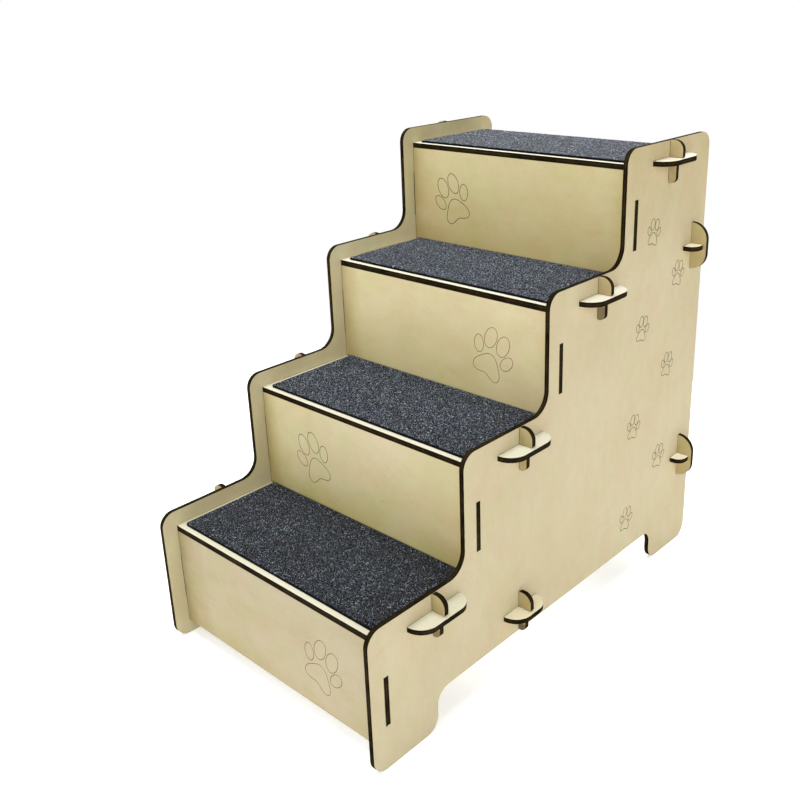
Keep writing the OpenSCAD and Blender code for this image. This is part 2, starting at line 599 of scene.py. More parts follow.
    def _burnt(self, bench: ShaderBench) -> tuple[Socket, Socket]:
        """Colours the charred cut edge with its plies and the beam's fine scores.

        Args:
            bench: The board's material.

        Returns:
            The edge's colour and its height pattern.
        """
        shift = Vector((self.board_shift * self.number,) * 3)
        score, ash = (figure.laid(bench, self.sheet, shift) for figure in (self.score, self.ash))
        middle, half = span(self.node, self.sheet)
        ply = bench.math("DIVIDE", bench.gap(bench.spot[self.sheet], middle), half)
        tone = bench.blend(self.score.strength(bench, score), bench.ramp(ply, self.plies), self.ember)
        return bench.blend(self.ash.strength(bench, ash), tone, self.char), score


@dataclass(frozen=True)
class SpeckledFinish:
    """A matt surface between two colours, spread by a slow noise pattern and a fine one."""

    name: str
    slow: Pattern
    fine: Pattern
    fine_share: float
    stops: Stops
    roughness: float
    specular: float
    relief: float
    relief_strength: float

    def material(self) -> bpy.types.Material:
        """Builds the finish, with the fine pattern in its relief too.

        Returns:
            The material.
        """
        bench = ShaderBench(self.name)
        slow, fine = bench.noise(*self.slow), bench.noise(*self.fine)
        speckle = bench.math(
            "ADD",
            bench.math("MULTIPLY", slow, 1.0 - self.fine_share),
            bench.math("MULTIPLY", fine, self.fine_share),
        )
        bench.surface(bench.ramp(speckle, self.stops), self.roughness, self.specular)
        bench.bump(fine, self.relief, self.relief_strength)
        return bench.material


@dataclass(frozen=True)
class ScorchFinish(SpeckledFinish):
    """The thin brown line that a light pass of the laser leaves in veneer."""

    name: str = "scorched_line"
    slow: Pattern = Pattern(120.0, 3.0, 0.6)
    fine: Pattern = Pattern(1800.0, 2.0, 0.6)
    fine_share: float = 0.3
    stops: Stops = ((0.38, paint(44, 31, 7)), (0.62, paint(94, 74, 26)))
    roughness: float = 0.8
    specular: float = 0.15
    relief: float = 0.05 * MM
    relief_strength: float = 0.5


@dataclass(frozen=True)
class CarpetBackingFinish(SpeckledFinish):
    """The dark felted backing under the pile, with its short nap."""

    name: str = "carpet_backing"
    slow: Pattern = Pattern(90.0, 2.0, 0.5)
    fine: Pattern = Pattern(900.0, 3.0, 0.65)
    fine_share: float = 0.7
    stops: Stops = ((0.35, paint(5, 5, 5)), (0.7, paint(14, 16, 25)))
    roughness: float = 0.95
    specular: float = 0.1
    relief: float = 0.5 * MM
    relief_strength: float = 0.8


@dataclass(frozen=True)
class CarpetPileFinish:
    """Slate-grey needled fibre with near-black and pale flecks, each tuft with its own shade."""

    name: str = "carpet_pile"
    tufts: Stops = (
        (0.08, paint(8, 11, 20)),
        (0.35, paint(69, 76, 94)),
        (0.55, paint(69, 76, 94)),
        (0.82, paint(126, 137, 158)),
        (1.0, paint(224, 234, 252)),
    )
    drift: Pattern = Pattern(28.0, 2.0, 0.5)
    hues: Stops = ((0.35, paint(236, 250, 246)), (0.5, paint(245, 250, 251)), (0.65, paint(247, 240, 255)))
    grain: Pattern = Pattern(1150.0, 2.0, 0.6)
    grains: Stops = ((0.38, paint(56, 56, 60)), (0.6, WHITE))
    grain_share: float = 0.6
    hair: Pattern = Pattern(2600.0, 2.0, 0.6)
    hair_stretch: tuple[float, float, float] = (1.0, 1.0, 0.4)
    hairs: Stops = ((0.3, paint(80, 80, 84)), (0.7, WHITE))
    hair_share: float = 0.5
    roughness: float = 0.9
    specular: float = 0.15
    sheen: float = 0.35
    sheen_roughness: float = 0.6
    relief: float = 0.2 * MM
    relief_strength: float = 0.6

    def material(self) -> bpy.types.Material:
        """Builds the finish, with a tone for each tuft and slow drifts of hue.

        Returns:
            The material.
        """
        bench = ShaderBench(self.name)
        tuft = bench.node("ShaderNodeAttribute", attribute_name=TUFT_SHADE, attribute_type="GEOMETRY")
        hair = bench.noise(*self.hair, stretch=Vector(self.hair_stretch))
        tone = bench.ramp(tuft.outputs["Fac"], self.tufts)
        tone = bench.glazed(tone, 1.0, bench.noise(*self.drift), self.hues)
        tone = bench.glazed(tone, self.grain_share, bench.noise(*self.grain), self.grains)
        tone = bench.glazed(tone, self.hair_share, hair, self.hairs)
        bench.surface(tone, self.roughness, self.specular)
        bench.shader.inputs["Sheen Weight"].default_value = self.sheen
        bench.shader.inputs["Sheen Roughness"].default_value = self.sheen_roughness
        bench.bump(hair, self.relief, self.relief_strength)
        return bench.material


@dataclass(frozen=True)
class FloorFinish:
    """The studio's plain matt white table, lit a little from below."""

    name: str = "studio_floor"
    white: Colour = (0.8, 0.8, 0.8, 1.0)
    roughness: float = 0.9
    specular: float = 0.1
    glow: float = 0.5

    def material(self) -> bpy.types.Material:
        """Builds the finish.

        Returns:
            The material.
        """
        bench = ShaderBench(self.name)
        bench.surface(self.white, self.roughness, self.specular)
        bench.shader.inputs["Emission Color"].default_value = WHITE
        bench.shader.inputs["Emission Strength"].default_value = self.glow
        return bench.material


class GeometryBench(NodeBench):
    """The nodes of one Geometry Nodes tree, with named inputs for its sizes."""

    # How far apart the seeds of two random choices lie.
    seed_step: float = 1000.0

    def __init__(self, name: str) -> None:
        """Starts an empty tree that takes and gives a geometry.

        Args:
            name: The tree's name.
        """
        super().__init__(bpy.data.node_groups.new(name, "GeometryNodeTree"))
        for way in ("INPUT", "OUTPUT"):
            self.tree.interface.new_socket("Geometry", in_out=way, socket_type="NodeSocketGeometry")
        self.entry = self.node("NodeGroupInput")
        self.sockets: dict[str, str] = {}

    def sizes(self, *names: str, kind: str = "NodeSocketFloat") -> list[Socket]:
        """Adds named inputs of one kind.

        Args:
            *names: What each input sets.
            kind: Their sockets' type name.

        Returns:
            The sockets that carry them inside the tree, in order.
        """
        for name in names:
            made = self.tree.interface.new_socket(name, in_out="INPUT", socket_type=kind)
            self.sockets[name] = made.identifier
        return [self.entry.outputs[name] for name in names]

    def vector(self, *parts: object) -> Socket:
        """Joins three numbers or sockets into a vector."""
        return self.node("ShaderNodeCombineXYZ", dict(enumerate(parts))).outputs[0]

    def attribute(self, name: str, kind: str) -> Socket:
        """Reads an attribute of the seed mesh.

        Args:
            name: The attribute's name.
            kind: FLOAT or FLOAT_VECTOR.

        Returns:
            Its value's socket.
        """
        made = self.node("GeometryNodeInputNamedAttribute", {"Name": name}, data_type=kind)
        return made.outputs["Attribute"]

    def random(self, kind: str, low: object, high: object, seed: Socket, choice: int) -> Socket:
        """A random value for each point, the same on every run.

        Args:
            kind: FLOAT or FLOAT_VECTOR.
            low: The least value.
            high: The greatest value.
            seed: The piece's seed.
            choice: A number that sets this choice apart from the others.

        Returns:
            The value's socket.
        """
        feeds = {"Seed": self.math("ADD", seed, choice * self.seed_step)}
        made = self.node("FunctionNodeRandomValue", feeds, data_type=kind)
        for name, value in (("Min", low), ("Max", high)):
            self.wire(value, next(socket for socket in made.inputs if socket.name == name and socket.enabled))
        return next(socket for socket in made.outputs if socket.enabled)

    def ring(self, points: object, radius: float = 1.0) -> Socket:
        """Draws a ring with so many points."""
        feeds = {"Resolution": points, "Radius": radius}
        return self.node("GeometryNodeCurvePrimitiveCircle", feeds, mode="RADIUS").outputs[0]

    def moved(self, shape: Socket, **changes: object) -> Socket:
        """Moves, turns or scales a shape.

        Args:
            shape: The geometry.
            **changes: Its translation, its rotation in radians or its scale.

        Returns:
            The changed geometry.
        """
        feeds = {name.capitalize(): value for name, value in changes.items()}
        return self.node("GeometryNodeTransform", {"Geometry": shape, **feeds}).outputs[0]

    def planted(self, points: Socket, shape: Socket, turn: Socket, scale: object = (1.0, 1.0, 1.0)) -> Socket:
        """Puts a copy of a shape on every point.

        Args:
            points: The points.
            shape: The geometry to copy.
            turn: The turn of each copy, in radians.
            scale: The scale of each copy.

        Returns:
            The copies.
        """
        spin = self.node("FunctionNodeEulerToRotation", {0: turn}).outputs[0]
        feeds = {"Points": points, "Instance": shape, "Rotation": spin, "Scale": scale}
        return self.node("GeometryNodeInstanceOnPoints", feeds).outputs[0]

    def finish(self, shape: Socket, finish: Socket) -> None:
        """Ends the tree: real geometry, finished with its material.

        Args:
            shape: The geometry, instances included.
            finish: The material's socket.
        """
        real = self.node("GeometryNodeRealizeInstances", {0: shape}).outputs[0]
        dressed = self.node("GeometryNodeSetMaterial", {"Geometry": real, "Material": finish})
        self.node("NodeGroupOutput", {0: dressed.outputs[0]})

    def grow(self, name: str, seed: bpy.types.Mesh, sizes: dict[str, object]) -> bpy.types.Object:
        """Grows a piece from a seed mesh and keeps the result as a plain mesh.

        Args:
            name: The piece's name.
            seed: The mesh that the tree starts from.
            sizes: A value for each named input.

        Returns:
            The new piece, with its place in its mesh.
        """
        start = placed(name + "_seed", seed)
        modifier = start.modifiers.new("grow", "NODES")
        modifier.node_group = self.tree
        for key, value in sizes.items():
            modifier[self.sockets[key]] = value
        bpy.context.view_layer.update()
        shaped = start.evaluated_get(bpy.context.evaluated_depsgraph_get())
        mesh = bpy.data.meshes.new_from_object(shaped)
        mesh.name = name
        start.modifiers.remove(modifier)
        bpy.data.objects.remove(start)
        return placed(name, mesh)


@dataclass(frozen=True)
class PawPlace:
    """Where a paw outline lies on a board's face, in metres from the stairs' origin."""

    across: float
    height: float
    tilt: float


@dataclass(frozen=True)
class PawFace:
    """The plane that paw outlines are burnt into."""

    right: Vector
    out: Vector
    distance: float

    def spin(self, tilt: float) -> Matrix:
        """Turns an outline from the drawing board onto the face.

        Args:
            tilt: Its lean to the right, in degrees, seen from outside.

        Returns:
            The turn.
        """
        stand = Matrix((self.right, Vector((0, 0, 1)), self.out)).transposed()
        return stand @ Matrix.Rotation(math.radians(-tilt), 3, "Z")

    def spot(self, place: PawPlace) -> Vector:
        """A place on the face as a point of the stairs."""
        along = Vector((abs(self.right.x), abs(self.right.y), 0)) * place.across
        return along + Vector((0, 0, place.height)) + self.out * self.distance


@dataclass(frozen=True)
class Toes:
    """A pair of oval toes, one on each side of a paw's middle and leaning outward."""

    half_length: float
    half_width: float
    outward: float
    up: float
    lean: float = 0.0

    def rings(self, bench: GeometryBench, steps: Socket) -> list[Socket]:
        """Draws both toes.

        Args:
            bench: The tree that they are drawn in.
            steps: How many points each line has.

        Returns:
            The left toe's ring and the right one's.
        """
        drawn = []
        for side in Side:
            oval = bench.moved(bench.ring(steps), scale=(self.half_width, self.half_length, 1.0))
            place, turn = (side * self.outward, self.up, 0.0), (0.0, 0.0, -side * self.lean)
            drawn.append(bench.moved(oval, translation=place, rotation=turn))
        return drawn


@dataclass
class PawOutline:
    """A paw print drawn with the laser: four toes and a three-lobed pad, in lines."""

    inner_toes: Toes = Toes(13.8 * MM, 8.8 * MM, 9.9 * MM, 18.8 * MM)
    outer_toes: Toes = Toes(11.1 * MM, 7.1 * MM, 22.6 * MM, 2.0 * MM, math.radians(23.5))
    pad_middle: float = -18.2 * MM
    pad_across: tuple[float, ...] = (19.65 * MM, -1.2 * MM, -0.75 * MM, 0.9 * MM)
    pad_along: tuple[float, ...] = (14.8 * MM, 3.2 * MM, -1.3 * MM, 1.2 * MM)
    steps: int = 48
    line_sides: int = 6
    line_height: float = 0.06 * MM
    clearance: float = 0.02 * MM

    def burn(
        self,
        name: str,
        face: PawFace,
        places: tuple[PawPlace, ...],
        size: float,
        width: float,
        finish: bpy.types.Material,
    ) -> None:
        """Burns a set of outlines into one face, as a piece that rides on the stairs' frame.

        Args:
            name: The piece's name.
            face: The board's face.
            places: Where the outlines go.
            size: Their size, 1 for the large ones.
            width: The width of their lines.
            finish: The scorched line's material.
        """
        lift = face.out * (self.clearance + self.line_height / 2)
        seed = bpy.data.meshes.new(name + "_places")
        seed.from_pydata([tuple(face.spot(place) + lift) for place in places], [], [])
        turns = seed.attributes.new("turn", "FLOAT_VECTOR", "POINT")
        for index, place in enumerate(places):
            turns.data[index].vector = face.spin(place.tilt).to_euler()
        sizes = {
            "Size": size,
            "Line width": width,
            "Line height": self.line_height,
            "Steps": self.steps,
            "Finish": finish,
        }
        piece = self._tree.grow(name, seed, sizes)
        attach(piece, BODY)

    @cached_property
    def _tree(self) -> GeometryBench:
        """Builds the tree that draws the outline and sets it on each point.

        Returns:
            The bench with the finished tree.
        """
        bench = GeometryBench("paw_outline")
        size, width, height = bench.sizes("Size", "Line width", "Line height")
        steps = bench.sizes("Steps", kind="NodeSocketInt")[0]
        finish = bench.sizes("Finish", kind="NodeSocketMaterial")[0]
        drawing = bench.node("GeometryNodeJoinGeometry")
        rings = self.inner_toes.rings(bench, steps) + self.outer_toes.rings(bench, steps)
        for ring in (*rings, self._pad(bench, steps)):
            bench.wire(ring, drawing.inputs[0])
        sized = bench.moved(drawing.outputs[0], scale=bench.vector(size, size, size))
        level = bench.node("GeometryNodeSetCurveNormal", {"Curve": sized}, mode="Z_UP")
        bead = bench.moved(bench.ring(self.line_sides, 0.5), scale=bench.vector(width, height, 1.0))
        line = bench.node("GeometryNodeCurveToMesh", {"Curve": level.outputs[0], "Profile Curve": bead})
        turn = bench.attribute("turn", "FLOAT_VECTOR")
        bench.finish(bench.planted(bench.entry.outputs["Geometry"], line.outputs[0], turn), finish)
        return bench

    def _pad(self, bench: GeometryBench, steps: Socket) -> Socket:
        """Draws the pad from a few sine and cosine waves round a ring.

        Args:
            bench: The tree's bench.
            steps: How many points the line has.

        Returns:
            The pad's ring.
        """
        index = bench.node("GeometryNodeInputIndex").outputs[0]
        turn = bench.math("MULTIPLY", bench.math("DIVIDE", index, steps), math.tau)
        across: Socket | float = 0.0
        along: Socket | float = self.pad_middle
        for wave, (reach, rise) in enumerate(zip(self.pad_across, self.pad_along), start=1):
            angle = bench.math("MULTIPLY", turn, float(wave))
            across = bench.math("ADD", across, bench.math("MULTIPLY", bench.math("SINE", angle), reach))
            along = bench.math("ADD", along, bench.math("MULTIPLY", bench.math("COSINE", angle), rise))
        feeds = {"Geometry": bench.ring(steps), "Position": bench.vector(across, along, 0.0)}
        return bench.node("GeometryNodeSetPosition", feeds).outputs[0]


@dataclass
class SidePanels:
    """The two stepped side panels, each with seven small paw outlines at a depth and a height."""

    first_number: int = 1
    paws: tuple[tuple[float, float], ...] = (
        (188.5 * MM, 471.8 * MM),
        (253.8 * MM, 406.6 * MM),
        (172.4 * MM, 352.8 * MM),
        (239.6 * MM, 286.2 * MM),
        (162.6 * MM, 223.2 * MM),
        (230.1 * MM, 156.9 * MM),
        (154.2 * MM, 93.5 * MM),
    )
    paw_tilt: float = 12.5
    paw_size: float = 0.5
    paw_line: float = 0.8 * MM
    tread_tongue: float = 80.0 * MM
    brace_tongue: float = 60.0 * MM
    riser_tab: float = 59.0 * MM
    tongue_rim: float = 0.55 * MM
    tab_rims: tuple[float, ...] = (0.55 * MM, 0.55 * MM, 0.7 * MM, 1.1 * MM)
    # Painted light: the left panel's veneer is a more olive copy of the right one's, standing in for the
    # light on its inner face.
    left_lit_veneer: Veneer = Veneer(paint(192, 183, 149), paint(187, 176, 140), paint(167, 152, 112))
    right_veneer: Veneer = Veneer()
    # Painted shade: each panel is darkened towards its top edge, where less light falls.
    top_painted_shade: SoftDarkening = SoftDarkening(Axis.UP, 578.5 * MM, 150.0 * MM, 0.6, paint(232, 226, 205))

    def build(self, outline: PawOutline, scorch: bpy.types.Material) -> None:
        """Dresses both panels and burns the paws into their outer faces.

        Args:
            outline: The paw drawing.
            scorch: The scorched line's material.
        """
        veneers = (self.left_lit_veneer, self.right_veneer)
        for number, (side, veneer) in enumerate(zip(Side, veneers), start=self.first_number):
            node = f"{side.word}_side_panel"
            PlywoodFinish(node, Axis.ACROSS, Axis.UP, number, veneer, self._rims(), (self.top_painted_shade,)).dress()
            low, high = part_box(node)
            distance = high.x if side is Side.RIGHT else -low.x
            face = PawFace(Vector((0, side, 0)), Vector((side, 0, 0)), distance)
            paws = tuple(PawPlace(depth, height, self.paw_tilt * side) for depth, height in self.paws)
            outline.burn(f"{side.word}_panel_paws", face, paws, self.paw_size, self.paw_line, scorch)
            LOG.info("%s side panel dressed, with %d small paws", side.word, len(paws))

    def _rims(self) -> tuple[SlotSinge, ...]:
        """The scorched rims round the slots that the tongues and tabs pass through.

        Returns:
            One rim for each tongue of a tread or brace and each tab of a riser.
        """
        slots = [(f"tread_{step}", Axis.DEPTH, self.tread_tongue, self.tongue_rim) for step in STEPS]
        slots.append((LEVEL_BRACE, Axis.DEPTH, self.brace_tongue, self.tongue_rim))
        slots += [(brace, Axis.UP, self.brace_tongue, self.tongue_rim) for brace in UPRIGHT_BRACES]
        slots += [(f"riser_{step}", Axis.UP, self.riser_tab, self.tab_rims[step - 1]) for step in STEPS]
        rims = []
        for node, way, length, reach in slots:
            sides = []
            for axis in (Axis.DEPTH, Axis.UP):
                middle, half = span(node, axis)
                sides.append((axis, middle, length / 2 if axis is way else half))
            rims.append(SlotSinge(tuple(sides), reach))
        return tuple(rims)


@dataclass
class Risers:
    """The four risers, each with one large paw outline on its front."""

    first_number: int = 11
    paws: tuple[PawPlace, ...] = (
        PawPlace(84.0 * MM, 77.3 * MM, 23.5),
        PawPlace(-82.7 * MM, 217.1 * MM, -23.5),
        PawPlace(83.1 * MM, 348.2 * MM, 23.5),
        PawPlace(-102.7 * MM, 488.1 * MM, -23.5),
    )
    paw_size: float = 1.0
    paw_lines: tuple[float, ...] = (0.58 * MM, 0.68 * MM, 0.6 * MM, 0.8 * MM)
    panel_depth: float = 6.0 * MM
    # A dark band along each riser's top edge, under its tread.
    top_dark_bands: tuple[float, ...] = (1.2 * MM, 0.6 * MM, 1.6 * MM, 0.8 * MM)
    corner_smoke: float = 0.9 * MM
    corner_strength: float = 0.5
    # Painted shadow: a dark band at the foot of each riser above the first, where the carpet meets it.
    foot_shadow: float = 3.4 * MM
    foot_shadow_strength: float = 0.4
    # Painted shade in the corner where each riser meets the left panel: its strength, its reach and its tint.
    left_corner_shades: tuple[float, ...] = (0.75, 0.5, 0.62, 0.5)
    left_corner_reaches: tuple[float, ...] = (60.0 * MM, 34.0 * MM, 42.0 * MM, 60.0 * MM)
    left_corner_tint: Colour = paint(216, 203, 156)
    # A patchy, darker and greener wash across the riser from its left end.
    side_darkenings: tuple[float, ...] = (0.0, 0.35, 0.1, 0.0)
    side_darkening_reach: float = 170.0 * MM
    side_darkening_tint: Colour = paint(228, 234, 188)
    # Painted shade in the corner where each riser meets the right panel.
    right_corner_shades: tuple[float, ...] = (0.35, 0.35, 0.35, 0.6)
    right_corner_reach: float = 34.0 * MM
    # Painted shade: each riser grows darker and more golden towards its foot.
    foot_shades: tuple[float, ...] = (0.32, 0.56, 0.3, 0.38)
    foot_shade_reach: float = 95.0 * MM
    foot_shade_tints: tuple[Colour, ...] = (
        paint(243, 231, 188),
        paint(228, 225, 158),
        paint(241, 232, 170),
        paint(247, 229, 168),
    )
    # Painted light: each riser's veneer is made lighter or darker, cooler or warmer, for the light that falls
    # on its step.
    light_tones: tuple[tuple[float, float], ...] = ((0.84, 1.15), (1.14, 1.08), (1.17, 1.05), (0.975, 0.935))
    veneer: Veneer = Veneer(paint(203, 190, 155), paint(195, 181, 140), paint(171, 153, 103))

    def build(self, outline: PawOutline, scorch: bpy.types.Material) -> None:
        """Dresses the risers and burns a paw into each front.

        Args:
            outline: The paw drawing.
            scorch: The scorched line's material.
        """
        for row, step in enumerate(STEPS):
            node = f"riser_{step}"
            low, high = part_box(node)
            smokes_and_shades = (
                SmokeAndShadeBand(Axis.UP, high.z, self.top_dark_bands[row]),
                SmokeAndShadeBand(Axis.ACROSS, low.x + self.panel_depth, self.corner_smoke, self.corner_strength),
                SmokeAndShadeBand(Axis.ACROSS, high.x - self.panel_depth, self.corner_smoke, self.corner_strength),
            )
            # Painted shadow along the riser's foot, beside the carpet.
            if step > 1:
                smokes_and_shades += (SmokeAndShadeBand(Axis.UP, low.z, self.foot_shadow, self.foot_shadow_strength),)
            # Soft darkenings: painted shade at both ends and towards the foot, and a darker, greener wash
            # from the left end.
            soft_darkenings = (
                SoftDarkening(Axis.ACROSS, low.x, self.left_corner_reaches[row], self.left_corner_shades[row], self.left_corner_tint),
                SoftDarkening(Axis.ACROSS, low.x, self.side_darkening_reach, self.side_darkenings[row], self.side_darkening_tint),
                SoftDarkening(Axis.ACROSS, high.x, self.right_corner_reach, self.right_corner_shades[row]),
                SoftDarkening(Axis.UP, low.z, self.foot_shade_reach, self.foot_shades[row], self.foot_shade_tints[row]),
            )
            number, veneer = self.first_number + row, self.veneer.toned(*self.light_tones[row])
            PlywoodFinish(node, Axis.DEPTH, Axis.ACROSS, number, veneer, smokes_and_shades, soft_darkenings).dress()
            face, paws = PawFace(Vector((1, 0, 0)), Vector((0, -1, 0)), -low.y), (self.paws[row],)
            outline.burn(f"riser_{step}_paw", face, paws, self.paw_size, self.paw_lines[row], scorch)
            LOG.info("riser %d dressed, with its paw", step)


@dataclass
class Treads:
    """The four treads."""

    first_number: int = 21
    front_smoke: float = 0.42 * MM
    # Painted light: each tread's veneer is made lighter or darker, cooler or warmer, for the light that falls
    # on its step.
    light_tones: tuple[tuple[float, float], ...] = ((0.9, 0.97), (0.92, 1.01), (0.96, 1.03), (0.92, 1.04))
    # The treads' veneer is paler than the risers', partly the wood's own colour and partly painted light on
    # their bright tops.
    veneer: Veneer = Veneer(paint(220, 216, 199), paint(216, 210, 190), paint(202, 193, 167))

    def build(self) -> None:
        """Dresses every tread."""
        for row, step in enumerate(STEPS):
            node = f"tread_{step}"
            number, veneer = self.first_number + row, self.veneer.toned(*self.light_tones[row])
            smokes_and_shades = (SmokeAndShadeBand(Axis.DEPTH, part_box(node)[0].y, self.front_smoke),)
            PlywoodFinish(node, Axis.UP, Axis.ACROSS, number, veneer, smokes_and_shades).dress()
            LOG.info("tread %d dressed", step)


@dataclass
class Braces:
    """The level brace near the floor and the two upright boards at the back."""

    upright_number: int = 30
    level_number: int = 35
    tan: Veneer = Veneer(paint(182, 167, 123), paint(174, 157, 111), paint(152, 133, 86))
    # Painted light: the level brace gets a much paler veneer, standing in for the light on its tongues.
    pale: Veneer = Veneer(paint(246, 240, 214), paint(242, 234, 205), paint(230, 218, 186))

    def build(self) -> None:
        """Dresses the three braces."""
        for number, node in enumerate(UPRIGHT_BRACES, start=self.upright_number):
            PlywoodFinish(node, Axis.DEPTH, Axis.ACROSS, number, self.tan).dress()
        PlywoodFinish(LEVEL_BRACE, Axis.UP, Axis.ACROSS, self.level_number, self.pale).dress()
        LOG.info("%d braces dressed", len(UPRIGHT_BRACES) + 1)


@dataclass
class Keys:
    """The removable keys that lock each tongue: ten that drop in and four pushed in.

    A tail shade is how far up a key's tail the painted shade under its tongue reaches, and how strong it is.
    """

    first_number: int = 41
    smoke: float = 0.5 * MM
    smoke_strength: float = 0.8
    tail_shades: tuple[tuple[float, float], ...] = (
        (12.0 * MM, 0.47),
        (12.0 * MM, 0.0),
        (28.0 * MM, 0.52),
        (12.0 * MM, 0.0),
    )
    base_tail_shade: tuple[float, float] = (12.0 * MM, 0.68)
    tan: Veneer = Veneer(paint(182, 165, 123), paint(174, 156, 113), paint(147, 125, 81))
    # Painted light: the pushed-in keys get a much paler veneer, standing in for the light on them.
    pale: Veneer = Veneer(paint(253, 247, 228), paint(251, 244, 220), paint(243, 232, 202))

    def build(self) -> None:
        """Dresses the fourteen keys."""
        number = self.first_number
        for side in Side:
            end = side.word
            keys = [
                (f"tread_key_{end}_{step}", f"tread_{step}", tail)
                for step, tail in zip(STEPS, self.tail_shades)
            ]
            keys.append((f"base_key_{end}", LEVEL_BRACE, self.base_tail_shade))
            keys += [(f"rear_key_{level}_{end}", f"rear_brace_{level}", None) for level in ("lower", "upper")]
            for node, board, tail in keys:
                self._dress(node, board, side, number, tail)
                number += 1
            LOG.info("%s keys dressed: %d", end, len(keys))

    def _dress(
        self, node: str, board: str, side: Side, number: int, tail: tuple[float, float] | None
    ) -> None:
        """Gives a key its plywood, smoky along its shoulder and its inner edge, with painted shade on its
        tail if it drops in.

        Args:
            node: The key's name.
            board: The board that it locks.
            side: The side of the stairs that it is on.
            number: A number of its own for the pattern.
            tail: The painted shade on its tail if it drops in, or nothing if it is pushed in from the front.
        """
        low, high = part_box(node)
        board_low, board_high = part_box(board)
        if tail:
            way, seat, veneer = Axis.UP, board_high.z, self.tan
        else:
            way, seat, veneer = Axis.DEPTH, board_low.y, self.pale
        inner = low.x if side is Side.RIGHT else high.x
        edges = ((way, seat), (Axis.ACROSS, inner))
        smokes_and_shades = [SmokeAndShadeBand(axis, place, self.smoke, self.smoke_strength) for axis, place in edges]
        # Painted shade on the tail, under the tongue above it.
        if tail:
            smokes_and_shades.append(SmokeAndShadeBand(Axis.UP, low.z, *tail))
        # A key is thinnest through its sheet.
        sheet = min(Axis, key=lambda axis: high[axis] - low[axis])
        PlywoodFinish(node, sheet, way, number, veneer, tuple(smokes_and_shades)).dress()


